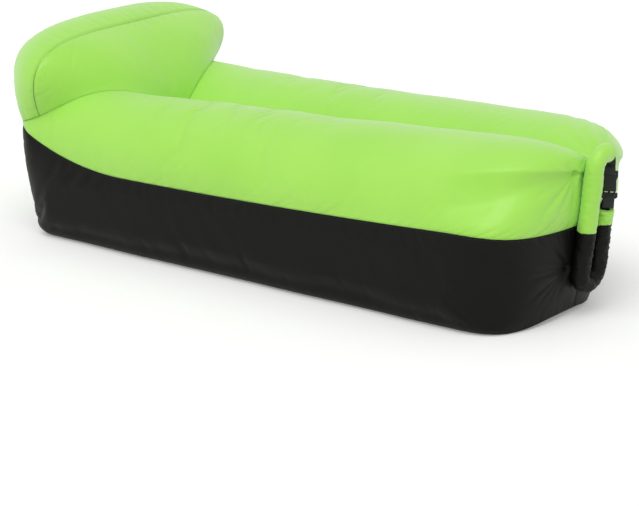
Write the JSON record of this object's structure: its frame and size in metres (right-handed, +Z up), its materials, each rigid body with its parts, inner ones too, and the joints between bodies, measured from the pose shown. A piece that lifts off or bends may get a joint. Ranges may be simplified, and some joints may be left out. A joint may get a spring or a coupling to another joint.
{
  "type": "inflatable air lounger",
  "caption": "Inflatable air lounger with two long tubes, a raised headrest, and a rolled and buckled mouth at the foot.",
  "frame": {"origin": "middle of the outline on the ground, under the bottom panel", "axes": "+X from the headrest to the rolled mouth, +Y from the near side to the far side, +Z up"},
  "size_m": [1.8508, 0.836, 0.611],
  "materials": {
    "lime_polyester": "lime green coated polyester taffeta with a soft sheen",
    "black_polyester": "black coated polyester taffeta with a soft sheen",
    "air_bag_film": "thin translucent white polyethylene film",
    "seam_tape": "white woven tape",
    "black_webbing": "black polypropylene webbing",
    "black_acetal": "black moulded acetal"
  },
  "bodies": {
    "lounger": {"near_top_panel": "lime_polyester", "far_top_panel": "lime_polyester", "headrest_front_panel": "lime_polyester", "headrest_band_panel": "lime_polyester", "headrest_back_panel": "lime_polyester", "near_side_panel": "black_polyester", "far_side_panel": "black_polyester", "bottom_panel": "black_polyester", "back_wall_panel": "black_polyester", "centre_web": "black_polyester", "near_side_seam_tape": "seam_tape", "far_side_seam_tape": "seam_tape", "near_bottom_seam_tape": "seam_tape", "far_bottom_seam_tape": "seam_tape", "near_air_bag": "air_bag_film", "far_air_bag": "air_bag_film", "headrest_air_bag": "air_bag_film", "rolled_mouth_upper": "lime_polyester", "rolled_mouth_lower": "black_polyester", "rolled_mouth_end": "lime_polyester", "mouth_stiffener_outer": "seam_tape", "mouth_stiffener_inner": "seam_tape", "upper_webbing": "black_webbing", "lower_webbing": "black_webbing", "buckle_plug": "black_acetal"},
    "socket": {"buckle_socket": "black_acetal"},
    "near_arm": {"near_plug_arm": "black_acetal"},
    "far_arm": {"far_plug_arm": "black_acetal"}
  },
  "joints": [
    {"name": "buckle_release", "type": "slide", "parent": "lounger", "child": "socket", "axis": [0, 0, 1], "range_m": [0, 0.034], "deforming": ["upper_webbing"]},
    {"name": "near_arm_squeeze", "type": "hinge", "parent": "lounger", "child": "near_arm", "pos_m": [0.88062, 0.01479, 0.336], "axis": [-0.454, 0.891, 0], "range_deg": [0, 12.7], "stiffness_Nm_per_rad": 0.02},
    {"name": "far_arm_squeeze", "type": "hinge", "parent": "lounger", "child": "far_arm", "pos_m": [0.90539, 0.02741, 0.336], "axis": [-0.454, 0.891, 0], "range_deg": [-12.7, 0], "stiffness_Nm_per_rad": 0.02}
  ],
  "couplings": [
    {"joint": "near_arm_squeeze", "follows": "buckle_release", "rad_per_m": 6.5},
    {"joint": "far_arm_squeeze", "follows": "buckle_release", "rad_per_m": -6.5}
  ]
}
